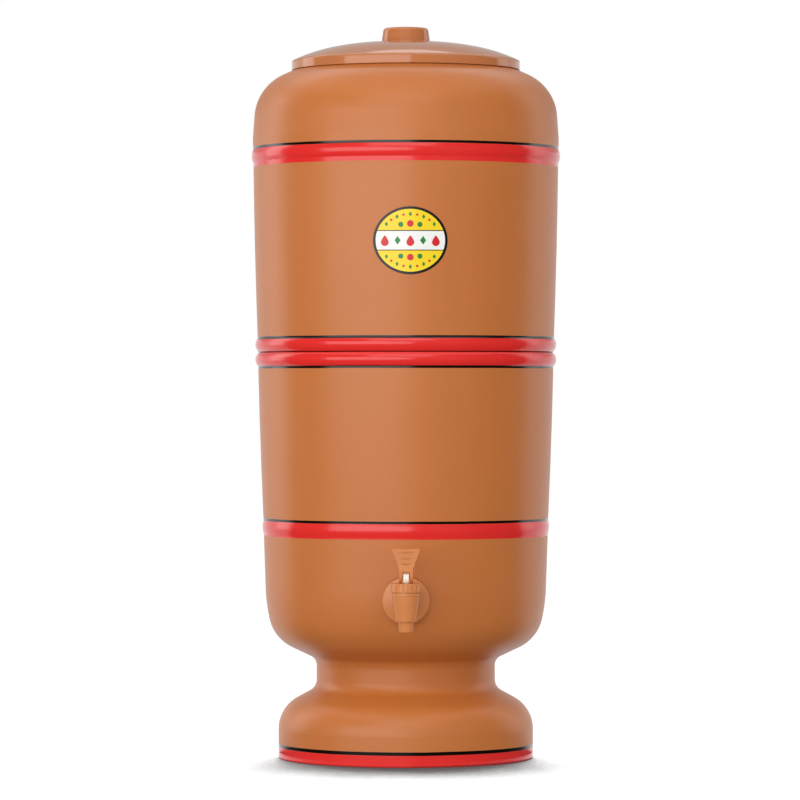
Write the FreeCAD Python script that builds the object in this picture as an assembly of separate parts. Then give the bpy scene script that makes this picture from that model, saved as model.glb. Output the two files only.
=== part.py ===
import FreeCAD
import Part
import math
import os
from FreeCAD import Vector

# A clay gravity water filter in two stacked pots, in millimetres.
# The origin is the middle of the ring that the foot stands on, +Z is up, and the tap points along -Y.
# Water is poured into the upper pot, seeps through the ceramic candle that stands on its floor,
# drips past a float valve into the lower pot, and leaves it through the lever tap.

# Driving dimensions of the two pots
CLAY = 7.5  # wall of the thrown clay
FOOT_R = 103.0  # outside of the foot ring
NECK_R = 72.2  # narrow neck between the foot and the lower pot
FOOT_CEILING = 82.0  # top of the hollow under the foot
LOWER_FLOOR = 91.0  # inside floor of the lower pot
JOINT_Z = 328.0  # rim of the lower pot, where the upper one sits
SEAT_GAP = 0.3  # between the faces of pots and lid that rest on each other
UPPER_UNDERSIDE = 320.5  # underside of the upper pot's floor, which drops into the lower rim
UPPER_FLOOR = 329.0  # inside floor of the upper pot
MOUTH_Z = 555.6  # clay lip that the lid rests on
MOUTH_R = 82.0  # opening of the upper pot
LID_R = 92.5  # rim of the lid
LID_TOP = 590.5  # top of the knob
LID_WALL = 2.4

# Raised bands that carry the red paint: lowest and highest point of each, and how far each stands out
FOOT_BAND_TOP = 9.8
LOW_BAND = (181.2, 192.4)
LOW_BAND_OUT = 0.85
RIM_BAND = (316.4, 327.6)
RIM_BAND_OUT = 2.3
SEAT_BAND = (328.5, 339.6)
SEAT_BAND_OUT = 2.0
TOP_BAND = (481.0, 491.8)
TOP_BAND_OUT = 1.3
WALL_LOW_R = 119.95  # radius of the upper pot just above its lower band
WALL_HIGH_R = 123.4  # and just below its upper one
WALL_BOW = 0.42  # how far that wall swells out in between
JOINT_R = 119.1  # outside of the two rims where they meet

# Driving dimensions of the tap
TAP_Z = 132.2  # height of the hole and of the inlet
TAP_Y = -143.5  # upright axis of the tap
HOLE_R = 9.5
OUTER_SEAT_Y = -111.5  # flat ground into the clay for the outer gasket
OUTER_RELIEF_Y = -113.0  # shallower flat that lets the flange lie close to the curved wall
INNER_SEAT_Y = -105.8
FLANGE_BACK_Y = -113.2
FLANGE_R = 18.7
OUTER_GASKET_R = 13.0
TAIL_R = 8.0
TAIL_END_Y = -86.0
INLET_R = 4.5
SPOUT_R = 3.9
SPOUT_BOTTOM = 109.0
CONE_BOTTOM = 117.3
VALVE_SEAT = 121.0
CONE_TOP = 136.6
COLLAR_TOP = 140.0
NECK_TOP = 144.2
BONNET_TOP = 147.2
BONNET_R = 11.6
BONNET_FLUTES = 18
STEM_R = 2.05
STEM_HEAD_TOP = 155.0
PIVOT_Z = 151.0
PIN_R = 1.0
RUNNING = 0.04  # radial clearance of a pin that turns
LEVER_TOP = 174.0
LEVER_TIP_HALF = 11.1  # half the width of the thumb paddle at its top
FORK_HALF = 5.35
FORK_SLOT_HALF = 3.05
FORK_SLOT_TOP = 156.3
CAM_GAP = 0.2  # between the fork's foot and the bonnet's top
CAM_LIFT = 2.0  # how far a quarter turn of the lever raises the stem

# Driving dimensions of the filter candle and the float valve
CANDLE_R = 26.0
CANDLE_SHELL = 8.0
CANDLE_BODY = 72.0  # straight part of the ceramic, under its dome
CANDLE_HOLE_R = 7.5
STEM_THREAD_R = 6.0
DRIP_BORE_R = 3.0
CANDLE_STEM_END = 296.0
VALVE_MOUTH_Z = 282.0
VALVE_TOP_Z = 306.5
FLOAT_PIVOT_X = 13.0
FLOAT_PIVOT_Z = 279.0
FLOAT_X = -45.0
FLOAT_R = 22.0
FLOAT_HEIGHT = 18.0
FLOAT_WALL = 1.5
FLOAT_DROOP = 20.0  # degrees that the arm hangs below its shut position

# Label on the front of the upper pot
LABEL_X = 3.4
LABEL_Z = 414.8
LABEL_HALF_WIDTH = 29.2
LABEL_HALF_HEIGHT = 26.6
LABEL_THICKNESS = 0.25

UP = Vector(0, 0, 1)
ORIGIN = Vector(0, 0, 0)


# Outlines and solids of revolution

def corner_points(before, here, after, radius):
    """Where a rounded corner starts, passes and ends, tangent to both of its sides."""
    back = (before - here).normalize()
    onward = (after - here).normalize()
    half = back.getAngle(onward) / 2
    reach = radius / math.tan(half)
    inward = (back + onward).normalize()
    middle = here + inward * (radius / math.sin(half) - radius)
    return here + back * reach, middle, here + onward * reach


def outline(corners):
    """A closed wire in the XZ plane. A corner is (x, z), with an optional rounding radius and an optional
    bulge: how far the side that leaves the corner bows out to the right of its direction."""
    full = [tuple(c) + (0,) * (4 - len(c)) for c in corners]
    at = [Vector(c[0], 0, c[1]) for c in full]
    rounds = []
    for i, here in enumerate(at):
        if full[i][2]:
            rounds.append(corner_points(at[i - 1], here, at[(i + 1) % len(at)], full[i][2]))
        else:
            rounds.append((here, None, here))
    edges = []
    for i, (enter, middle, leave) in enumerate(rounds):
        if middle:
            edges.append(Part.Arc(enter, middle, leave).toShape())
        arrive = rounds[(i + 1) % len(rounds)][0]
        run = arrive - leave
        if run.Length < 1e-6:
            continue
        if full[i][3]:
            right = Vector(run.z, 0, -run.x).normalize()
            crest = (leave + arrive) * 0.5 + right * full[i][3]
            edges.append(Part.Arc(leave, crest, arrive).toShape())
        else:
            edges.append(Part.LineSegment(leave, arrive).toShape())
    return Part.Wire(edges)


def turned(corners):
    """The solid that an outline of (radius, height) corners sweeps about the Z axis."""
    return Part.Face(outline(corners)).revolve(ORIGIN, UP, 360)


def plate(corners, thickness):
    """A plate standing in the XZ plane, centred on Y = 0."""
    face = Part.Face(outline(corners))
    face.translate(Vector(0, -thickness / 2, 0))
    return face.extrude(Vector(0, thickness, 0))


def moved(shape, x, y, z):
    shape.translate(Vector(x, y, z))
    return shape


def laid_along_y(shape, z):
    """Turns a shape built about +Z so that its axis runs along +Y at height z, with the same distances."""
    shape.rotate(ORIGIN, Vector(1, 0, 0), -90)
    return moved(shape, 0, 0, z)


def rod(radius, low, high, x=0.0, y=0.0):
    return Part.makeCylinder(radius, high - low, Vector(x, y, low), UP)


def thread(major, minor, pitch, start, end):
    """Corners of evenly spaced thread crests along a shank, from one height to another."""
    turns = int(abs(end - start) / pitch)
    step = (end - start) / turns
    corners = []
    for i in range(turns):
        z = start + i * step
        corners += [(minor, z), (major, z + 0.35 * step), (major, z + 0.65 * step)]
    return corners + [(minor, end)]


# The pots

def lower_chamber():
    """Hollow foot, neck and water pot in one clay piece, with the tap hole and its ground seats."""
    outside = [
        (FOOT_R, 0, 1.5),
        (FOOT_R, 40.4, 28.5),
        (NECK_R, 57.3, 10.5),
        (NECK_R, 80.2, 8.4),
        (107.3, 96.9, 33.0),
        (113.15, 125.7, 148.0),
        (115.05, LOW_BAND[0], 0, LOW_BAND_OUT),
        (115.25, LOW_BAND[1], 0, 0.35),
        (119.5, RIM_BAND[0], 0, RIM_BAND_OUT),
        (119.5, RIM_BAND[1]),
        (JOINT_R, JOINT_Z - SEAT_GAP / 2),
    ]
    inside = [
        (112.0, JOINT_Z - SEAT_GAP / 2, 1.5),
        (112.0, 316.0, 20),
        (107.6, 176.0),
        (105.7, 126.5, 138.0),
        (100.7, 102.1, 25.0),
        (77.3, LOWER_FLOOR, 14.0),
        (0, LOWER_FLOOR),
        (0, FOOT_CEILING),
        (NECK_R - CLAY, FOOT_CEILING, 6.0),
        (NECK_R - CLAY, 52.8, 16.0),
        (FOOT_R - CLAY, 35.9, 21.0),
        (FOOT_R - CLAY, 0, 1.0),
    ]
    pot = turned(outside + inside)
    hole = laid_along_y(rod(HOLE_R, -130, -90), TAP_Z)
    outer_seat = laid_along_y(rod(OUTER_GASKET_R + 0.6, -130, OUTER_SEAT_Y), TAP_Z)
    relief = laid_along_y(rod(FLANGE_R + 0.7, -130, OUTER_RELIEF_Y), TAP_Z)
    inner_seat = laid_along_y(rod(16.2, INNER_SEAT_Y, -90), TAP_Z)
    return pot.cut(hole.fuse([outer_seat, relief, inner_seat]))


def upper_chamber():
    """Straight-walled pot with a shouldered mouth, and a floor that drops into the lower rim."""
    spigot_r = 110.4
    seat_z = JOINT_Z + SEAT_GAP / 2
    return turned([
        (CANDLE_HOLE_R, UPPER_UNDERSIDE),
        (spigot_r, UPPER_UNDERSIDE, 2.0),
        (spigot_r, seat_z, 0.6),
        (JOINT_R, seat_z),
        (119.5, SEAT_BAND[0], 0, SEAT_BAND_OUT),
        (WALL_LOW_R, SEAT_BAND[1], 0, WALL_BOW),
        (WALL_HIGH_R, TOP_BAND[0], 0, TOP_BAND_OUT),
        (123.6, TOP_BAND[1]),
        (123.9, 500.0, 40.0),
        (120.9, 542.6, 39.0),
        (91.9, MOUTH_Z, 0.8),
        (MOUTH_R, MOUTH_Z, 1.6),
        (MOUTH_R, 549.0, 2.0),
        (116.3, 534.5, 28.0),
        (116.0, 490.0, 200.0),
        (112.6, UPPER_FLOOR, 12.0),
        (CANDLE_HOLE_R, UPPER_FLOOR, 0.8),
    ])


def lid():
    """Moulded plastic lid: a shallow dome with a hollow knob, a channelled rim and a locating skirt."""
    under_rim = MOUTH_Z + SEAT_GAP
    skirt_r = MOUTH_R - 1.7
    skirt_in = skirt_r - 2.0
    channel_in = skirt_r + 2.0
    channel_out = LID_R - 2.2
    dome_mid = (61.0, 574.2)
    knob_foot = (19.7, 578.7)
    return turned([
        (skirt_in, 548.0, 0.6),
        (skirt_r, 548.0, 0.6),
        (skirt_r, under_rim),
        (channel_in, under_rim),
        (channel_in, 565.3, 0.8),
        (channel_out, 561.9, 0.8),
        (channel_out, under_rim),
        (LID_R, under_rim, 0.6),
        (LID_R, 563.7, 2.0, 0.95),
        (*dome_mid, 0, 1.0),
        (*knob_foot, 1.2),
        (18.0, LID_TOP, 2.6),
        (0, LID_TOP),
        (0, LID_TOP - LID_WALL),
        (15.6, LID_TOP - LID_WALL, 2.0),
        (17.2, 576.3, 1.0, -1.0),
        (dome_mid[0], dome_mid[1] - LID_WALL, 0, -0.4),
        (skirt_in, 566.0, 1.5),
    ])


def label():
    """Thin oval sticker that lies on the upper pot's wall."""
    skin = turned([
        (WALL_LOW_R, SEAT_BAND[1]),
        (WALL_LOW_R + LABEL_THICKNESS, SEAT_BAND[1], 0, WALL_BOW),
        (WALL_HIGH_R + LABEL_THICKNESS, TOP_BAND[0]),
        (WALL_HIGH_R, TOP_BAND[0], 0, -WALL_BOW),
    ])
    oval = Part.Ellipse(Vector(LABEL_X, -200, LABEL_Z), LABEL_HALF_WIDTH, LABEL_HALF_HEIGHT)
    edge = oval.toShape()
    edge.rotate(Vector(LABEL_X, -200, LABEL_Z), Vector(1, 0, 0), 90)
    cutter = Part.Face(Part.Wire([edge])).extrude(Vector(0, 150, 0))
    return skin.common(cutter)


# The tap

def tap_body():
    """Upright valve chamber and spout, inlet shank, wall flange and threaded tail in one moulding."""
    neck_r = 9.6
    chamber = turned([
        (0, SPOUT_BOTTOM),
        (5.25, SPOUT_BOTTOM, 0.6),
        (6.35, CONE_BOTTOM),
        (8.0, CONE_BOTTOM, 0.4),
        (10.9, CONE_TOP, 0.3),
        (10.6, CONE_TOP + 0.15),
        (10.6, CONE_TOP + 0.55),
        (11.0, CONE_TOP + 0.7, 0.3),
        (11.0, COLLAR_TOP - 0.6, 0.4),
        (neck_r, COLLAR_TOP - 0.6),
        (neck_r, NECK_TOP),
        (0, NECK_TOP),
    ])
    chamber = moved(chamber, 0, TAP_Y, 0)
    face = -FLANGE_BACK_Y
    side = turned([
        (0, -TAIL_END_Y),
        (TAIL_R - 0.8, -TAIL_END_Y),
        *thread(TAIL_R, TAIL_R - 0.8, 2.4, -TAIL_END_Y + 0.5, face - 3.0),
        (TAIL_R - 0.4, face),
        (FLANGE_R, face, 0.6),
        (FLANGE_R, face + 2.4, 1.2),
        (11.0, face + 4.0, 6.0),
        (7.6, face + 4.6, 1.5),
        (6.6, -TAP_Y - 8.0),
        (0, -TAP_Y),
    ])
    side.rotate(ORIGIN, Vector(1, 0, 0), 90)
    side = moved(side, 0, 0, TAP_Z)
    valve_bore = moved(turned([
        (0, SPOUT_BOTTOM - 1),
        (SPOUT_R, SPOUT_BOTTOM - 1),
        (SPOUT_R, VALVE_SEAT),
        (6.9, VALVE_SEAT, 0.8),
        (8.0, CONE_TOP),
        (8.0, NECK_TOP + 1),
        (0, NECK_TOP + 1),
    ]), 0, TAP_Y, 0)
    inlet = laid_along_y(rod(INLET_R, TAP_Y, TAIL_END_Y + 1), TAP_Z)
    return chamber.fuse(side).cut(valve_bore.fuse(inlet)).removeSplitter()


def tap_bonnet():
    """Fluted screw cap that clamps the rubber cup and guides the stem."""
    skirt_in = 9.75
    cap = turned([
        (STEM_R + 0.1, NECK_TOP + 1.2),
        (skirt_in, NECK_TOP + 1.2),
        (skirt_in, COLLAR_TOP - 0.5),
        (BONNET_R - 0.5, COLLAR_TOP - 0.5, 0.3),
        (BONNET_R - 0.5, COLLAR_TOP + 0.3),
        (BONNET_R, COLLAR_TOP + 0.5, 0.2),
        (BONNET_R, BONNET_TOP, 0.7),
        (STEM_R + 0.1, BONNET_TOP, 0.2),
    ])
    for i in range(BONNET_FLUTES):
        turn = 2 * math.pi * i / BONNET_FLUTES
        x, y = (BONNET_R + 0.45) * math.cos(turn), (BONNET_R + 0.45) * math.sin(turn)
        cap = cap.cut(rod(0.95, COLLAR_TOP + 1.0, BONNET_TOP + 1, x, y))
    return moved(cap, 0, TAP_Y, 0)


def tap_seat_cup():
    """Silicone cup that closes the spout and keeps water from the stem; its flange is clamped by the cap."""
    return moved(turned([
        (5.6, NECK_TOP + 1.15),
        (5.6, 123.9, 1.0),
        (0, 123.9),
        (0, VALVE_SEAT + 0.05),
        (4.6, VALVE_SEAT + 0.05),
        (6.5, VALVE_SEAT + 1.8, 0.6),
        (6.5, NECK_TOP + 0.05, 0.8),
        (9.4, NECK_TOP + 0.05),
        (9.4, NECK_TOP + 1.15),
    ]), 0, TAP_Y, 0)


def tap_stem():
    """White stem: a button in the cup, a round shank through the cap, and a flat head with an eye."""
    shank = turned([
        (0, 124.0),
        (3.0, 124.0, 0.4),
        (3.0, 126.2, 0.4),
        (STEM_R, 127.4),
        (STEM_R, 148.2),
        (0, 148.2),
    ])
    half = 2.1
    reach = FORK_SLOT_TOP - PIVOT_Z - 0.4
    head = plate([
        (-half, BONNET_TOP + 0.4, 0.3),
        (half, BONNET_TOP + 0.4, 0.3),
        (half, STEM_HEAD_TOP, 0.5),
        (-half, STEM_HEAD_TOP, 0.5),
    ], 2 * reach)
    sweep = Part.makeCylinder(reach, 2 * reach, Vector(-reach, 0, PIVOT_Z), Vector(1, 0, 0))
    eye = Part.makeCylinder(PIN_R + RUNNING, 12, Vector(-6, 0, PIVOT_Z), Vector(1, 0, 0))
    return moved(shank.fuse(head.common(sweep)).cut(eye).removeSplitter(), 0, TAP_Y, 0)


def cam_point(turn):
    """A point of the fork's foot, about the pivot, as (y, z). A lever turned by this angle stands on it,
    and stands higher in even proportion to the angle."""
    rate = CAM_LIFT / (math.pi / 2)
    reach = PIVOT_Z - BONNET_TOP - CAM_GAP + rate * turn
    y = -reach * math.sin(turn) - rate * math.cos(turn)
    z = -reach * math.cos(turn) + rate * math.sin(turn)
    return Vector(0, y, z)


def lever_ridge(z, half_length):
    """Lens-shaped finger ridge, thickest in the middle, lying across the paddle's front."""
    thickest = 0.75
    ridge = Part.Face(Part.Wire([
        Part.Arc(Vector(-half_length, 0, 0), Vector(0, 0, thickest), Vector(half_length, 0, 0)).toShape(),
        Part.LineSegment(Vector(half_length, 0, 0), Vector(-half_length, 0, 0)).toShape(),
    ])).revolve(ORIGIN, Vector(1, 0, 0), 360)
    lean = 0.2 * (z - 11.0) / 11.0
    return moved(ridge, 0, -3.0 + lean, z)


def tap_lever():
    """Thumb paddle on a fork whose foot is a cam. Built about the pivot, with -Y to the front."""
    tip = LEVER_TOP - PIVOT_Z
    back = 3.0
    slot_top = FORK_SLOT_TOP - PIVOT_Z
    cam = Part.BSplineCurve()
    cam.interpolate([cam_point(math.radians(15 * i)) for i in range(7)])
    start, end = cam_point(0), cam_point(math.pi / 2)
    side = [start, Vector(0, 1.6, start.z), Vector(0, back, -2.0), Vector(0, back, 5.9), Vector(0, 0.4, 10.5),
            Vector(0, 0.1, tip), Vector(0, -2.8, tip), Vector(0, -3.1, 11.0), Vector(0, end.y, 5.9), end]
    edges = [Part.LineSegment(a, b).toShape() for a, b in zip(side, side[1:])]
    profile = Part.Face(Part.Wire(Part.sortEdges(edges + [cam.toShape()])[0]))
    wide = moved(profile, -15, 0, 0).extrude(Vector(30, 0, 0))
    front = plate([
        (-FORK_HALF, -6.0),
        (FORK_HALF, -6.0),
        (FORK_HALF, 7.4, 4.0),
        (LEVER_TIP_HALF, tip, 0.9),
        (-LEVER_TIP_HALF, tip, 0.9),
        (-FORK_HALF, 7.4, 4.0),
    ], 30)
    slot = plate([
        (-FORK_SLOT_HALF, -8.0),
        (FORK_SLOT_HALF, -8.0),
        (FORK_SLOT_HALF, slot_top, 0.5),
        (-FORK_SLOT_HALF, slot_top, 0.5),
    ], 30)
    pin_hole = Part.makeCylinder(PIN_R, 30, Vector(-15, 0, 0), Vector(1, 0, 0))
    lever = wide.common(front).cut(slot.fuse(pin_hole))
    for z, half_length in ((20.4, 6.6), (15.7, 5.2), (11.4, 3.9)):
        lever = lever.fuse(lever_ridge(z, half_length))
    lever = eased_back(lever.removeSplitter())
    return moved(lever, 0, TAP_Y, PIVOT_Z)


def eased_back(lever):
    """Rounds the long edges of the paddle's back, above the fork."""
    edges = [e for e in lever.Edges if e.BoundBox.ZMin > 7 and e.BoundBox.YMin > -0.3 and e.Length > 5]
    return lever.makeFillet(0.5, edges)


def tap_lever_pin():
    length = 2 * FORK_HALF - 0.2
    return Part.makeCylinder(PIN_R, length, Vector(-length / 2, TAP_Y, PIVOT_Z), Vector(1, 0, 0))


def ring_along_y(inner, outer, start_y, end_y, ease):
    """Flat ring about the inlet's axis, between two Y positions, with eased edges."""
    ring = turned([
        (inner, start_y),
        (outer, start_y, ease),
        (outer, end_y, ease),
        (inner, end_y),
    ])
    return laid_along_y(ring, TAP_Z)


def tap_outer_gasket():
    return ring_along_y(TAIL_R + 0.1, OUTER_GASKET_R, FLANGE_BACK_Y, OUTER_SEAT_Y, 0.3)


def tap_inner_gasket():
    return ring_along_y(TAIL_R + 0.1, 15.0, INNER_SEAT_Y, INNER_SEAT_Y + 2.5, 0.5)


def hexagon(across_flats, low, high):
    corner = across_flats / math.sqrt(3)
    points = [Vector(corner * math.cos(math.radians(60 * i)), corner * math.sin(math.radians(60 * i)), low)
              for i in range(7)]
    return Part.Face(Part.makePolygon(points)).extrude(Vector(0, 0, high - low))


def tap_lock_nut():
    """Plastic hexagon nut with a washer face, on the tail inside the pot."""
    start = INNER_SEAT_Y + 2.5
    collar = turned([
        (0, start),
        (14.0, start, 0.4),
        (14.0, start + 1.8, 0.4),
        (0, start + 1.8),
    ])
    nut = collar.fuse(hexagon(24.0, start + 1.0, start + 9.0)).cut(rod(TAIL_R + 0.1, start - 1, start + 10))
    return laid_along_y(nut.removeSplitter(), TAP_Z)


# The filter candle

BASE_Z = UPPER_FLOOR + 2.5  # underside of the candle's plastic base, on its gasket
CERAMIC_Z = BASE_Z + 4.1
DOME_Z = CERAMIC_Z + CANDLE_BODY


def bullet(radius, low, centre):
    """Upright cylinder with a hemispherical top."""
    return rod(radius, low, centre).fuse(Part.makeSphere(radius, Vector(0, 0, centre))).removeSplitter()


def candle_ceramic():
    """Porous ceramic shell, closed by a dome and open at its foot."""
    return bullet(CANDLE_R, CERAMIC_Z, DOME_Z).cut(bullet(CANDLE_R - CANDLE_SHELL, CERAMIC_Z - 30, DOME_Z))


def candle_core():
    """Packed carbon inside the ceramic."""
    return bullet(CANDLE_R - CANDLE_SHELL - 0.4, CERAMIC_Z + 0.4, DOME_Z)


def candle_base():
    """Plastic cup that holds the ceramic, with the bored and threaded stem below it."""
    return turned([
        (DRIP_BORE_R, CANDLE_STEM_END),
        (STEM_THREAD_R - 1.0, CANDLE_STEM_END),
        *thread(STEM_THREAD_R, STEM_THREAD_R - 0.7, 2.0, CANDLE_STEM_END + 0.6, UPPER_FLOOR - 1.0),
        (STEM_THREAD_R, UPPER_FLOOR),
        (STEM_THREAD_R, BASE_Z),
        (29.5, BASE_Z, 0.6),
        (29.5, BASE_Z + 3.0, 0.8),
        (28.0, BASE_Z + 4.0, 0.5),
        (28.0, BASE_Z + 14.0, 0.7),
        (CANDLE_R + 0.1, BASE_Z + 14.0),
        (CANDLE_R + 0.1, BASE_Z + 4.0),
        (DRIP_BORE_R, BASE_Z + 4.0),
    ])


def flat_ring(inner, outer, low, high, ease):
    return turned([
        (inner, low),
        (outer, low, ease),
        (outer, high, ease),
        (inner, high),
    ])


def candle_gasket():
    return flat_ring(STEM_THREAD_R + 0.1, 17.0, UPPER_FLOOR, BASE_Z, 0.5)


def candle_lower_washer():
    return flat_ring(STEM_THREAD_R + 0.2, 14.0, UPPER_UNDERSIDE - 2.0, UPPER_UNDERSIDE, 0.4)


def candle_wing_nut():
    """Nut with two thumb wings, under the upper pot's floor."""
    top = UPPER_UNDERSIDE - 2.0
    hub = flat_ring(0, 10.0, top - 11.0, top, 0.8)
    wings = plate([
        (-10.5, top - 2.0, 1.5),
        (-20.0, top - 6.0, 3.0),
        (-20.0, top - 13.0, 3.0),
        (-8.0, top - 9.5, 2.0),
        (8.0, top - 9.5, 2.0),
        (20.0, top - 13.0, 3.0),
        (20.0, top - 6.0, 3.0),
        (10.5, top - 2.0, 1.5),
    ], 3.2)
    return hub.fuse(wings).cut(rod(STEM_THREAD_R + 0.1, top - 20, top + 1)).removeSplitter()


# The float valve

def float_valve_body():
    """Screws on the candle's stem, ends in the drip orifice, and carries two ears for the arm."""
    grip = turned([
        (2.0, VALVE_MOUTH_Z),
        (4.0, VALVE_MOUTH_Z, 0.3),
        (5.0, VALVE_MOUTH_Z + 3.0),
        (9.5, VALVE_MOUTH_Z + 6.0, 1.0),
        (9.5, VALVE_TOP_Z, 0.8),
        (STEM_THREAD_R + 0.1, VALVE_TOP_Z),
        (STEM_THREAD_R + 0.1, CANDLE_STEM_END - 0.6),
        (2.0, CANDLE_STEM_END - 3.0),
    ])
    ear = [
        (FLOAT_PIVOT_X - 3.6, FLOAT_PIVOT_Z - 3.6, 3.0),
        (FLOAT_PIVOT_X + 3.6, FLOAT_PIVOT_Z - 3.6, 3.0),
        (FLOAT_PIVOT_X + 3.6, FLOAT_PIVOT_Z + 8.0, 3.0),
        (6.0, 296.0, 2.0),
        (6.0, FLOAT_PIVOT_Z + 9.5, 1.0),
        (FLOAT_PIVOT_X - 3.6, FLOAT_PIVOT_Z + 5.0, 1.0),
    ]
    for side in (-1, 1):
        grip = grip.fuse(moved(plate(ear, 2.0), 0, side * 4.3, 0))
    pin_hole = Part.makeCylinder(PIN_R, 20, Vector(FLOAT_PIVOT_X, -10, FLOAT_PIVOT_Z), Vector(0, 1, 0))
    return grip.cut(pin_hole).removeSplitter()


def float_hinge_pin():
    return Part.makeCylinder(PIN_R, 10.6, Vector(FLOAT_PIVOT_X, -5.3, FLOAT_PIVOT_Z), Vector(0, 1, 0))


def hanging(shape):
    """Turns a piece of the float from its shut position down to where it hangs."""
    shape.rotate(Vector(FLOAT_PIVOT_X, 0, FLOAT_PIVOT_Z), Vector(0, 1, 0), -FLOAT_DROOP)
    return shape


PAD_TOP = VALVE_MOUTH_Z - 0.2  # where the pad stands when the float has shut the valve
BAR_TOP = 278.5
BAR_BOTTOM = 276.0


def float_arm():
    """Bar with a hinge eye, a cup for the rubber pad, and a post that plugs into the float."""
    bar = plate([
        (FLOAT_PIVOT_X, BAR_BOTTOM),
        (FLOAT_PIVOT_X, BAR_TOP),
        (FLOAT_X - 4.0, BAR_TOP, 1.0),
        (FLOAT_X - 4.0, BAR_BOTTOM, 1.0),
    ], 6.0)
    eye = Part.makeCylinder(3.0, 6.0, Vector(FLOAT_PIVOT_X, -3, FLOAT_PIVOT_Z), Vector(0, 1, 0))
    cup = rod(5.4, BAR_BOTTOM, PAD_TOP - 1.3)
    post = rod(2.5, BAR_BOTTOM, BAR_TOP + 4.0, FLOAT_X)
    arm = bar.fuse([eye, cup, post])
    arm = arm.cut(rod(4.3, PAD_TOP - 2.6, PAD_TOP + 5))
    hole = Part.makeCylinder(PIN_R + RUNNING, 20, Vector(FLOAT_PIVOT_X, -10, FLOAT_PIVOT_Z), Vector(0, 1, 0))
    return hanging(arm.cut(hole).removeSplitter())


def float_valve_pad():
    return hanging(flat_ring(0, 4.25, PAD_TOP - 2.6, PAD_TOP, 0.2))


FLOAT_LOW = BAR_TOP + 0.05
FLOAT_SEAM = FLOAT_LOW + FLOAT_HEIGHT / 2
FLOAT_HIGH = FLOAT_LOW + FLOAT_HEIGHT


def float_lower_half():
    """Lower cup of the hollow float, with the socket for the arm's post."""
    inner = FLOAT_R - FLOAT_WALL
    return hanging(moved(turned([
        (2.55, FLOAT_LOW),
        (FLOAT_R, FLOAT_LOW, 4.0),
        (FLOAT_R, FLOAT_SEAM),
        (inner, FLOAT_SEAM),
        (inner, FLOAT_LOW + FLOAT_WALL, 2.5),
        (5.0, FLOAT_LOW + FLOAT_WALL, 0.5),
        (5.0, FLOAT_LOW + 6.0),
        (0, FLOAT_LOW + 6.0),
        (0, FLOAT_LOW + 4.3),
        (2.55, FLOAT_LOW + 4.3),
    ]), FLOAT_X, 0, 0))


def float_upper_half():
    inner = FLOAT_R - FLOAT_WALL
    return hanging(moved(turned([
        (inner, FLOAT_SEAM),
        (FLOAT_R, FLOAT_SEAM),
        (FLOAT_R, FLOAT_HIGH, 4.0),
        (0, FLOAT_HIGH),
        (0, FLOAT_HIGH - FLOAT_WALL),
        (inner, FLOAT_HIGH - FLOAT_WALL, 2.5),
    ]), FLOAT_X, 0, 0))


PIECES = [
    lower_chamber, upper_chamber, lid, label,
    tap_body, tap_bonnet, tap_seat_cup, tap_stem, tap_lever, tap_lever_pin,
    tap_outer_gasket, tap_inner_gasket, tap_lock_nut,
    candle_ceramic, candle_core, candle_base, candle_gasket, candle_lower_washer, candle_wing_nut,
    float_valve_body, float_hinge_pin, float_arm, float_valve_pad, float_lower_half, float_upper_half,
]

os.makedirs("parts", exist_ok=True)
for piece in PIECES:
    shape = piece()
    print(f"{piece.__name__:22s} {shape.Volume / 1000:9.2f} cm3  solids {len(shape.Solids)}  valid {shape.isValid()}")
    shape.exportStep(f"parts/{piece.__name__}.step")
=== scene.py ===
import math

import bmesh
import bpy
from mathutils import Matrix, Vector


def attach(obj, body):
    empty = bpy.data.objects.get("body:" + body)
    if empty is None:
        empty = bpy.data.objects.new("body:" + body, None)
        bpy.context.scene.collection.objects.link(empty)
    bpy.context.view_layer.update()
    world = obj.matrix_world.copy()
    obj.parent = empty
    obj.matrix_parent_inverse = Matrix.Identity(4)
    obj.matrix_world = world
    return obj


# A clay water filter in two stacked pots, with a moulded lid, an oval sticker and a lever tap.
# Metres, Z up, the tap towards -Y.

MM = 0.001

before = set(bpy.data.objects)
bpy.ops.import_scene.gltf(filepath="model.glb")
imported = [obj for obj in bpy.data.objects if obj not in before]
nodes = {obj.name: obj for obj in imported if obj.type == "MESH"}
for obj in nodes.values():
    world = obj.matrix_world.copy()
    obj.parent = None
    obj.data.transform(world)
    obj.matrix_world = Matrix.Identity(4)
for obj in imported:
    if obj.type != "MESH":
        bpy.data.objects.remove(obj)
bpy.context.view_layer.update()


# Shader nodes in short

def feed(tree, socket, value):
    """Sets an input to a number or a colour, or links another node's output to it."""
    if isinstance(value, bpy.types.NodeSocket):
        tree.links.new(value, socket)
    elif isinstance(value, tuple):
        socket.default_value = (*value, 1)
    else:
        socket.default_value = value


def feed_all(tree, node, values):
    for name, value in values.items():
        feed(tree, node.inputs[name], value)


def math_node(tree, operation, a, b=None, clamp=False):
    """Output of a Math node whose inputs are numbers or other sockets."""
    node = tree.nodes.new("ShaderNodeMath")
    node.operation = operation
    node.use_clamp = clamp
    feed(tree, node.inputs[0], a)
    if b is not None:
        feed(tree, node.inputs[1], b)
    return node.outputs[0]


def plus(tree, a, b):
    return math_node(tree, "ADD", a, b)


def minus(tree, a, b, clamp=False):
    return math_node(tree, "SUBTRACT", a, b, clamp)


def times(tree, a, b):
    return math_node(tree, "MULTIPLY", a, b)


def most(tree, a, b):
    return math_node(tree, "MAXIMUM", a, b)


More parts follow.
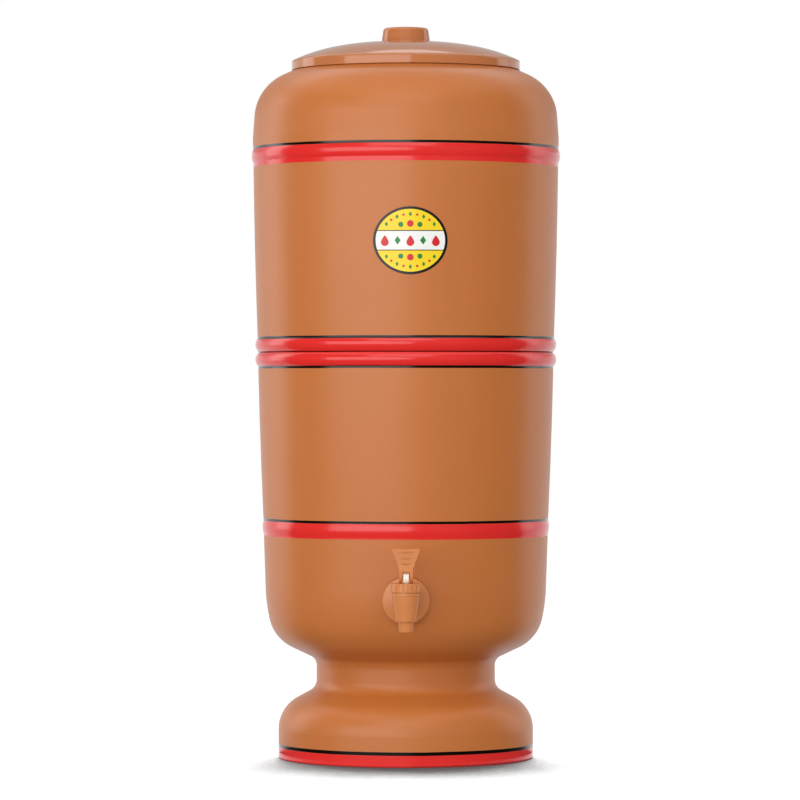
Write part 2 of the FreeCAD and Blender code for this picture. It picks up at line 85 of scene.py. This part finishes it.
def object_point(tree, stretch=(1, 1, 1)):
    """The piece's own coordinates, in metres, stretched by a factor along each axis."""
    place = tree.nodes.new("ShaderNodeTexCoord")
    mapping = tree.nodes.new("ShaderNodeMapping")
    mapping.inputs["Scale"].default_value = stretch
    tree.links.new(place.outputs["Object"], mapping.inputs["Vector"])
    return mapping.outputs["Vector"]


def noise(tree, point, scale=1.0, detail=2.0, roughness=0.5):
    node = tree.nodes.new("ShaderNodeTexNoise")
    feed_all(tree, node, {"Vector": point, "Scale": scale, "Detail": detail, "Roughness": roughness})
    return node.outputs["Fac"]


def ramp(tree, value, low, high):
    """Goes smoothly from 0 to 1 as the value goes from low to high."""
    node = tree.nodes.new("ShaderNodeMapRange")
    node.interpolation_type = "SMOOTHSTEP"
    feed_all(tree, node, {"Value": value, "From Min": low, "From Max": high})
    return node.outputs["Result"]


def mix_colours(tree, factor, a, b):
    """A colour between a and b, which are colours or sockets."""
    node = tree.nodes.new("ShaderNodeMix")
    node.data_type = "RGBA"
    feed(tree, node.inputs["Factor"], factor)
    for name, value in (("A", a), ("B", b)):
        socket = [s for s in node.inputs if s.name == name and s.type == "RGBA"][0]
        feed(tree, socket, value)
    return [s for s in node.outputs if s.type == "RGBA"][0]


# Shader groups that several finishes share

def new_group(name, inputs, outputs):
    """A shader group of numbers, with its inputs given as {name: value} and its outputs as names."""
    group = bpy.data.node_groups.new(name, "ShaderNodeTree")
    for label, value in inputs.items():
        socket = group.interface.new_socket(name=label, in_out="INPUT", socket_type="NodeSocketFloat")
        socket.default_value = value
    for label in outputs:
        group.interface.new_socket(name=label, in_out="OUTPUT", socket_type="NodeSocketFloat")
    return group, group.nodes.new("NodeGroupInput"), group.nodes.new("NodeGroupOutput")


def make_clay_grain():
    """Sponged terracotta: slow mottling, sandy speckle, and faint rings left by the wheel."""
    group, _, out = new_group("clay_grain", {}, ["Mottle", "Speckle", "Height"])
    mottle = noise(group, object_point(group), scale=14.0, detail=4.0, roughness=0.6)
    sand = noise(group, object_point(group), scale=900.0, roughness=0.6)
    rings = noise(group, object_point(group, stretch=(3, 3, 130)), detail=3.0, roughness=0.55)
    height = plus(group, times(group, rings, 0.75), times(group, sand, 0.25))
    feed_all(group, out, {"Mottle": mottle, "Speckle": ramp(group, sand, 0.35, 0.75), "Height": height})
    return group


def make_painted_ring():
    """Mask of a hand-painted ring round the outside of a pot, between two heights, with a wavering edge.
    The least radius keeps it off the inside of the wall."""
    waver = 0.5 * MM  # how far the edge strays up and down, in all
    soft = 0.12 * MM  # how far the edge fades to each side
    group, given, out = new_group("painted_ring", {"Low": 0.0, "High": 0.01, "Least radius": 0.1}, ["Mask"])
    split = group.nodes.new("ShaderNodeSeparateXYZ")
    feed(group, split.inputs[0], object_point(group))
    x, y, z = split.outputs
    stray = minus(group, noise(group, object_point(group, stretch=(1, 1, 0.2)), scale=18.0), 0.5)
    height = plus(group, z, times(group, stray, waver))
    above, over = [
        ramp(group, height, minus(group, given.outputs[edge], soft), plus(group, given.outputs[edge], soft))
        for edge in ("Low", "High")
    ]
    radius = math_node(group, "SQRT", plus(group, times(group, x, x), times(group, y, y)))
    outside = math_node(group, "GREATER_THAN", radius, given.outputs["Least radius"])
    feed(group, out.inputs["Mask"], times(group, minus(group, above, over, clamp=True), outside))
    return group


def make_brush_marks():
    """Long thin streaks that a brush leaves while the pot turns."""
    group, _, out = new_group("brush_marks", {}, ["Streak"])
    feed(group, out.inputs["Streak"], noise(group, object_point(group, stretch=(7, 7, 900))))
    return group


def make_moulded_skin():
    """Plastic skin: a faint orange-peel height and a slow change of tone."""
    group, given, out = new_group("moulded_skin", {"Peel scale": 260.0}, ["Height", "Tone"])
    peel = noise(group, object_point(group), scale=given.outputs["Peel scale"])
    tone = noise(group, object_point(group), scale=30.0, detail=3.0)
    feed_all(group, out, {"Height": peel, "Tone": tone})
    return group


clay_grain = make_clay_grain()
painted_ring = make_painted_ring()
brush_marks = make_brush_marks()
moulded_skin = make_moulded_skin()


# Finishes

def new_material(name):
    material = bpy.data.materials.new(name)
    material.use_nodes = True
    return material, material.node_tree, material.node_tree.nodes["Principled BSDF"]


def place_group(tree, group, values=None):
    """A shader group's outputs, with its inputs given as {name: value}."""
    node = tree.nodes.new("ShaderNodeGroup")
    node.node_tree = group
    feed_all(tree, node, values or {})
    return node.outputs


def add_bump(tree, shader, height, distance):
    bump = tree.nodes.new("ShaderNodeBump")
    feed_all(tree, bump, {"Distance": distance, "Height": height})
    feed(tree, shader.inputs["Normal"], bump.outputs["Normal"])


# Painted rings, in millimetres: lowest, highest, and a radius that only the outside of the wall reaches
RED_RINGS = [
    (-1.0, 9.4, 100),  # the foot's edge
    (180.0, 192.2, 113),  # the low band
    (316.9, 338.4, 115),  # the two bands at the joint
    (477.5, 491.4, 120),  # the top band
]
BLACK_RINGS_AND_GAP_SHADE = [
    (9.4, 12.2, 100),
    (192.2, 194.3, 113),
    (314.9, 316.9, 115),
    (327.6, 328.4, 118.7),  # painted shade: a black line in the joint, where the gap's shadow falls, off the lower rim's top
    (338.4, 340.6, 115),
    (491.4, 493.5, 120),
]
CLAY_DARK = (0.52, 0.153, 0.029)
CLAY_LIGHT = (0.58, 0.173, 0.037)
CLAY_SAND = (0.64, 0.22, 0.07)
SANDINESS = 0.15  # how much of the sand's colour the speckle shows
ENAMEL_DARK = (0.73, 0.023, 0.02)
ENAMEL_LIGHT = (0.8, 0.031, 0.027)
# this black also serves as painted shade in the joint between the pots
BLACK_PAINT_AND_GAP_SHADE = (0.005, 0.003, 0.002)
CLAY_ROUGHNESS = 0.38
PAINT_ROUGHNESS = 0.18
CLAY_RELIEF = 0.08 * MM
PAINT_FILLS = 0.8  # how much of the clay's relief the paint fills
PAINT_FILM = 0.5  # thickness of the paint, and of its streaks, as parts of the clay's relief
PAINT_STREAKS = 0.3


def ring_mask(tree, rings):
    """One mask for several painted rings."""
    total = None
    for low, high, radius in rings:
        place = {"Low": low * MM, "High": high * MM, "Least radius": radius * MM}
        mask = place_group(tree, painted_ring, place)["Mask"]
        total = mask if total is None else most(tree, total, mask)
    return total


def painted_clay():
    """Sponged terracotta with glossy red and black rings brushed on, and painted shade: a black line in the
    joint between the pots.
    """
    material, tree, shader = new_material("painted_clay")
    grain = place_group(tree, clay_grain)
    streak = place_group(tree, brush_marks)["Streak"]
    red = ring_mask(tree, RED_RINGS)
    black = ring_mask(tree, BLACK_RINGS_AND_GAP_SHADE)
    painted = most(tree, red, black)

    clay = mix_colours(tree, grain["Mottle"], CLAY_DARK, CLAY_LIGHT)
    clay = mix_colours(tree, times(tree, grain["Speckle"], SANDINESS), clay, CLAY_SAND)
    enamel = mix_colours(tree, streak, ENAMEL_DARK, ENAMEL_LIGHT)
    colour = mix_colours(tree, black, mix_colours(tree, red, clay, enamel), BLACK_PAINT_AND_GAP_SHADE)
    smoother = times(tree, painted, CLAY_ROUGHNESS - PAINT_ROUGHNESS)
    feed_all(tree, shader, {"Base Color": colour, "Roughness": minus(tree, CLAY_ROUGHNESS, smoother)})

    bare = minus(tree, 1.0, times(tree, painted, PAINT_FILLS))
    film = times(tree, painted, plus(tree, PAINT_FILM, times(tree, streak, PAINT_STREAKS)))
    add_bump(tree, shader, plus(tree, times(tree, grain["Height"], bare), film), CLAY_RELIEF)
    return material


def plastic(name, colour, roughness, peel=260.0, relief=0.01 * MM):
    """Moulded plastic whose tone drifts between its colour and a slightly darker one."""
    material, tree, shader = new_material(name)
    skin = place_group(tree, moulded_skin, {"Peel scale": peel})
    darker = tuple(c * 0.93 for c in colour)
    tone = mix_colours(tree, skin["Tone"], darker, colour)
    feed_all(tree, shader, {"Base Color": tone, "Roughness": roughness})
    add_bump(tree, shader, skin["Height"], relief)
    return material


def rubber(name, colour):
    """Matt rubber with a dusty bloom."""
    material, tree, shader = new_material(name)
    skin = place_group(tree, moulded_skin, {"Peel scale": 700.0})
    bloom = tuple(min(1.0, c * 1.3 + 0.01) for c in colour)
    tone = mix_colours(tree, skin["Tone"], colour, bloom)
    feed_all(tree, shader, {"Base Color": tone, "Roughness": 0.65})
    add_bump(tree, shader, skin["Height"], 0.02 * MM)
    return material


def bare_ceramic():
    """White filter ceramic: chalky, with fine pores."""
    material, tree, shader = new_material("bare_ceramic")
    grain = place_group(tree, clay_grain)
    chalk = mix_colours(tree, grain["Mottle"], (0.8, 0.77, 0.7), (0.86, 0.84, 0.78))
    feed_all(tree, shader, {"Base Color": chalk, "Roughness": 0.8})
    add_bump(tree, shader, grain["Speckle"], 0.06 * MM)
    return material


def steel():
    """Drawn stainless wire."""
    material, tree, shader = new_material("pin_steel")
    skin = place_group(tree, moulded_skin, {"Peel scale": 1200.0})
    tone = mix_colours(tree, skin["Tone"], (0.5, 0.5, 0.5), (0.62, 0.62, 0.61))
    feed_all(tree, shader, {"Base Color": tone, "Metallic": 1.0, "Roughness": 0.3})
    add_bump(tree, shader, skin["Height"], 0.005 * MM)
    return material


def dress(material, *names):
    for name in names:
        materials = nodes[name].data.materials
        materials.clear()
        materials.append(material)


TAP_PEEL = 500.0  # the tap's mouldings have a finer skin than the lid

dress(painted_clay(), "lower_chamber", "upper_chamber")
dress(plastic("lid_plastic", (0.54, 0.193, 0.072), roughness=0.1), "lid")
dress(plastic("tap_plastic", (0.67, 0.235, 0.072), roughness=0.3, peel=TAP_PEEL), "tap_body", "tap_bonnet")
# painted shade: the lever gets a darker copy of the tap's plastic, to offset the light its front catches
dress(plastic("lever_plastic_shaded", (0.63, 0.205, 0.048), roughness=0.32, peel=TAP_PEEL), "tap_lever")
dress(plastic("stem_plastic", (0.93, 0.89, 0.76), roughness=0.35, peel=TAP_PEEL), "tap_stem")
dress(rubber("silicone", (0.7, 0.7, 0.67)), "tap_seat_cup")
dress(rubber("gasket_rubber", (0.02, 0.02, 0.02)),
      "tap_outer_gasket", "tap_inner_gasket", "candle_gasket", "candle_lower_washer", "float_valve_pad")
dress(plastic("nut_plastic", (0.8, 0.8, 0.77), roughness=0.45), "tap_lock_nut")
dress(bare_ceramic(), "candle_ceramic")
dress(rubber("carbon", (0.015, 0.015, 0.016)), "candle_core")
dress(plastic("candle_plastic", (0.1, 0.25, 0.5), roughness=0.4),
      "candle_base", "candle_wing_nut", "float_valve_body")
dress(plastic("float_plastic", (0.82, 0.82, 0.8), roughness=0.4),
      "float_arm", "float_lower_half", "float_upper_half")
dress(steel(), "tap_lever_pin", "float_hinge_pin")


# The sticker, in millimetres until it is on the wall

LABEL_X = 3.4  # middle of the sticker
LABEL_Z = 414.8
WALL_R = 122.21  # radius of the upper pot's wall at that height
WALL_SLOPE = 0.0244  # how much the radius grows with height
STICKER = 0.25  # thickness
INK = 0.03  # from one layer of ink to the next
STRIP = 3  # widest flat strip of artwork, so that it follows the wall
FIELD = (27.2, 24.6)  # half width and half height of the printed field, inside the sticker's black edge
BAND = 7.3  # half height of the white band
KEYLINE = 0.7  # black line along the band
BAND_MOTIFS = 5  # drops and diamonds along the band, and the step between them
BAND_STEP = 10
ARC_MOTIFS = 9  # small diamonds and dots in each arc, and the step between them in degrees
ARC_STEP = 13
ARC = (23.8, 20.6)  # half width and half height of the oval that they stand on
LARGE_DOTS = [(0, 13.2, 2.6, "ink_red"), (-7.5, 12.4, 2.0, "ink_green"), (7.5, 12.4, 2.0, "ink_green")]

INKS = {
    "ink_yellow": (0.95, 0.68, 0.004),
    "ink_white": (0.9, 0.9, 0.87),
    "ink_red": (0.7, 0.01, 0.015),
    "ink_green": (0.015, 0.25, 0.04),
    "ink_black": (0.008, 0.008, 0.008),
}


def oval(half_width, half_height, sides, x=0.0, z=0.0):
    """A flat oval in X and Z that faces the front. With 4 sides it is a diamond."""
    bm = bmesh.new()
    bmesh.ops.create_circle(bm, cap_ends=True, segments=sides, radius=1.0)
    bmesh.ops.rotate(bm, verts=bm.verts, matrix=Matrix.Rotation(math.radians(90), 3, "X"))
    bmesh.ops.scale(bm, verts=bm.verts, vec=(half_width, 1, half_height))
    bmesh.ops.translate(bm, verts=bm.verts, vec=(x, 0, z))
    return bm


def drop(radius, x, z):
    """A flat water drop: a disc whose upper half is drawn out to a point."""
    stretch = 1.7
    taper = 0.4
    bm = oval(radius, radius, 32)
    for v in bm.verts:
        if v.co.z > 0:
            v.co.x *= (1 - v.co.z / radius) ** taper
            v.co.z *= stretch
    bmesh.ops.translate(bm, verts=bm.verts, vec=(x, 0, z))
    return bm


def cut_flat(bm, place, normal, clear_outer=False):
    """Cuts flat artwork along a plane, and can drop what lies on the side that the normal points to."""
    geometry = bm.verts[:] + bm.edges[:] + bm.faces[:]
    bmesh.ops.bisect_plane(bm, geom=geometry, plane_co=place, plane_no=normal, clear_outer=clear_outer)


def field():
    return oval(*FIELD, 96)


def stripe(level):
    """The part of the field that lies within a level above or below its middle."""
    bm = field()
    for sign in (1, -1):
        cut_flat(bm, (0, 0, sign * level), (0, 0, sign), clear_outer=True)
    return bm


def print_on_wall(bm, layer):
    """Bends flat artwork round the wall, on a given layer of ink, and makes it metres."""
    low = min(v.co.x for v in bm.verts)
    high = max(v.co.x for v in bm.verts)
    for i in range(math.ceil(low / STRIP), math.ceil(high / STRIP)):
        cut_flat(bm, (i * STRIP, 0, 0), (1, 0, 0))
    for v in bm.verts:
        x, z = v.co.x + LABEL_X, v.co.z + LABEL_Z
        r = WALL_R + WALL_SLOPE * v.co.z + STICKER + layer * INK
        v.co = Vector((x, -math.sqrt(r * r - x * x), z)) * MM


def sticker_artwork():
    """The printed face as (shape, layer, ink): a yellow field with a white band of drops and diamonds, and
    above and below the band an arc of small diamonds and dots, and three large dots."""
    art = [
        (field(), 1, "ink_yellow"),
        (stripe(BAND + KEYLINE), 2, "ink_black"),
        (stripe(BAND), 3, "ink_white"),
    ]

    def add(shape, ink):
        top_layer = 4
        art.append((shape, top_layer, ink))

    for i in range(BAND_MOTIFS):
        x = (i - BAND_MOTIFS // 2) * BAND_STEP
        if i % 2:
            add(oval(2.4, 3.4, 4, x, 0), "ink_green")
        else:
            add(drop(3.1, x, -1.4), "ink_red")
    for sign in (1, -1):
        for i in range(ARC_MOTIFS):
            turn = math.radians(90 + (i - ARC_MOTIFS // 2) * ARC_STEP)
            x, z = ARC[0] * math.cos(turn), sign * ARC[1] * math.sin(turn)
            if i % 2:
                add(oval(1.0, 1.0, 16, x, z), "ink_red")
            else:
                add(oval(1.3, 1.9, 4, x, z), "ink_green")
        for x, z, radius, ink in LARGE_DOTS:
            add(oval(radius, radius, 24, x, sign * z), ink)
    return art


def link(name, mesh):
    piece = bpy.data.objects.new(name, mesh)
    bpy.context.scene.collection.objects.link(piece)
    return piece


def make_mesh(name, bm):
    mesh = bpy.data.meshes.new(name)
    bm.to_mesh(mesh)
    bm.free()
    return mesh


def make_sticker():
    """One mesh of all the ink, on the sticker's solid, which keeps the black of its edge."""
    inks = list(INKS)
    whole = bmesh.new()
    for bm, layer, ink in sticker_artwork():
        print_on_wall(bm, layer)
        for face in bm.faces:
            face.material_index = inks.index(ink)
            face.smooth = True
        loose = make_mesh("loose", bm)
        whole.from_mesh(loose)
        bpy.data.meshes.remove(loose)
    mesh = make_mesh("label_print", whole)
    for ink in inks:
        mesh.materials.append(plastic(ink, INKS[ink], roughness=0.3, peel=400.0, relief=0.004 * MM))
    piece = link("label_print", mesh)
    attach(piece, "upper_pot")
    dress(mesh.materials[inks.index("ink_black")], "label")


make_sticker()


# Floor, world, lamps and camera

WHITE = (1.0, 1.0, 1.0)
FLOOR_HALF = 6.0
FLOOR_BASE = (0.16, 0.16, 0.16)
FLOOR_GLOW = 0.93  # makes the open floor look white
FLOOR_BOUNCE = 0.28  # what the floor gives off as light
# The floor's shadow is painted: its glow dims where something stands close by, mostly behind.
SHADOW_REACH = 0.18  # how near a thing has to be to shut the floor in
LEAN_BACK = 0.98  # the floor looks for such things backwards and a little up
LEAN_UP = 0.18
SHUT_IN = 0.51  # openness at which the painted shadow is darkest
SHUT_IN_SPAN = 0.24  # from there to the open floor
SHADOW_FALLOFF = 3.0
WORLD_LIGHT = 0.57
AIM_HEIGHT = 0.3  # the lamps face this height on the axis

# Name, azimuth in degrees from the front to the right, distance, height, width, tallness, watts, and whether
# reflections show it
LAMPS = [
    ("key", -29, 2.4, 0.55, 3.2, 1.1, 29.5, True),
    ("upper_key", -4, 2.4, 2.1, 2.4, 1.0, 14.5, True),
    ("fill", 32, 2.4, 0.7, 1.2, 1.4, 6.5, False),
    ("top_back", -174, 1.25, 2.11, 3.0, 0.6, 8, True),
    ("back_fill", 176, 2.4, 0.7, 2.4, 1.1, 12, False),
    ("rim_left", -115, 2.4, 0.85, 0.85, 1.6, 6, True),
    ("rim_right", 114, 2.4, 0.85, 0.7, 1.6, 2, True),
]

# Name, profile as (distance, height) from its inner or lower edge, azimuth of its middle and half its angle
# in degrees, and glow. The black one starts beside the foot, lies on the floor and hangs at the front.
CLOTHS = [
    ("black_cloth", ((0.115, 0.002), (3.0, 0.002), (3.0, 3.2)), 0, 104, 0.0),
    ("grey_cloth", ((3.0, 0.8), (3.0, 3.9)), 180, 46, 0.55),
]
CLOTH_STEPS = 36

CAMERA_PLACE = (-0.0047, -3.637, 0.2989)
CAMERA_DOWN = 0.149  # degrees below level
CAMERA_LENS = 202.05  # millimetres, as is the sensor's width
CAMERA_SENSOR = 36.0


def seen(tree):
    """1 where the camera, a reflection or glass looks, and 0 where light is gathered."""
    path = tree.nodes.new("ShaderNodeLightPath")
    reflected = most(tree, path.outputs["Is Glossy Ray"], path.outputs["Is Transmission Ray"])
    return most(tree, path.outputs["Is Camera Ray"], reflected)


def floor_white():
    """Pale matt floor that looks white, with a painted shadow: its glow dims close in front of whatever
    stands on it.
    """
    material, tree, shader = new_material("floor_white")
    openness = tree.nodes.new("ShaderNodeAmbientOcclusion")
    openness.samples = 16
    lean = tree.nodes.new("ShaderNodeCombineXYZ")
    feed_all(tree, lean, {"Y": LEAN_BACK, "Z": LEAN_UP})
    feed_all(tree, openness, {"Distance": SHADOW_REACH, "Normal": lean.outputs["Vector"]})
    # painted shadow: the glow falls off where the leaned ambient occlusion finds something close
    above_shut = minus(tree, openness.outputs["AO"], SHUT_IN)
    open_part = math_node(tree, "DIVIDE", above_shut, SHUT_IN_SPAN, clamp=True)
    glow_with_painted_shadow = times(tree, math_node(tree, "POWER", open_part, SHADOW_FALLOFF), FLOOR_GLOW)
    extra = times(tree, seen(tree), minus(tree, glow_with_painted_shadow, FLOOR_BOUNCE))
    feed_all(tree, shader, {
        "Base Color": FLOOR_BASE, "Roughness": 0.9, "Specular IOR Level": 0.0,
        "Emission Color": WHITE, "Emission Strength": plus(tree, extra, FLOOR_BOUNCE),
    })
    return material


def make_floor():
    bm = bmesh.new()
    bmesh.ops.create_grid(bm, x_segments=1, y_segments=1, size=FLOOR_HALF)
    mesh = make_mesh("floor", bm)
    mesh.materials.append(floor_white())
    link("floor", mesh)


def make_world():
    """White where it is seen, softer where it lights."""
    world = bpy.data.worlds.new("studio")
    bpy.context.scene.world = world
    world.use_nodes = True
    tree = world.node_tree
    strength = plus(tree, WORLD_LIGHT, times(tree, seen(tree), 1.0 - WORLD_LIGHT))
    feed_all(tree, tree.nodes["Background"], {"Color": WHITE, "Strength": strength})


def softbox(name, azimuth, distance, height, width, tall, watts, reflected):
    """A rectangular lamp that faces the axis."""
    lamp = bpy.data.lights.new(name, "AREA")
    lamp.shape = "RECTANGLE"
    lamp.size = width
    lamp.size_y = tall
    lamp.energy = watts
    turn = math.radians(azimuth)
    place = Vector((distance * math.sin(turn), -distance * math.cos(turn), height))
    holder = link(name, lamp)
    holder.visible_glossy = reflected
    holder.location = place
    holder.rotation_euler = (Vector((0, 0, AIM_HEIGHT)) - place).to_track_quat("-Z", "Y").to_euler()


def make_cloth(name, profile, middle, half, glow):
    """Cloth hung round the studio, half its angle to each side of its middle. It shows only in reflections,
    as bright as its glow, and light goes through it."""
    bm = bmesh.new()
    corners = [bm.verts.new((0, -distance, height)) for distance, height in profile]
    edges = [bm.edges.new(pair) for pair in zip(corners, corners[1:])]
    start = math.radians(middle - half)
    sweep = math.radians(2 * half)
    bmesh.ops.rotate(bm, verts=bm.verts, matrix=Matrix.Rotation(start, 3, "Z"))
    bmesh.ops.spin(bm, geom=corners + edges, axis=(0, 0, 1), angle=sweep, steps=CLOTH_STEPS)
    mesh = make_mesh(name, bm)
    material, tree, shader = new_material(name)
    feed_all(tree, shader, {
        "Base Color": (0.0, 0.0, 0.0), "Specular IOR Level": 0.0,
        "Emission Color": WHITE, "Emission Strength": glow,
    })
    mesh.materials.append(material)
    cloth = link(name, mesh)
    for ray in ("camera", "diffuse", "shadow", "transmission", "volume_scatter"):
        setattr(cloth, "visible_" + ray, False)


def make_camera():
    camera = bpy.data.cameras.new("camera")
    camera.lens = CAMERA_LENS
    camera.sensor_width = CAMERA_SENSOR
    holder = link("camera", camera)
    holder.location = CAMERA_PLACE
    holder.rotation_euler = (math.radians(90 - CAMERA_DOWN), 0, 0)
    bpy.context.scene.camera = holder


make_floor()
make_world()
for lamp in LAMPS:
    softbox(*lamp)
for cloth in CLOTHS:
    make_cloth(*cloth)
make_camera()
bpy.context.scene.view_settings.view_transform = "Standard"
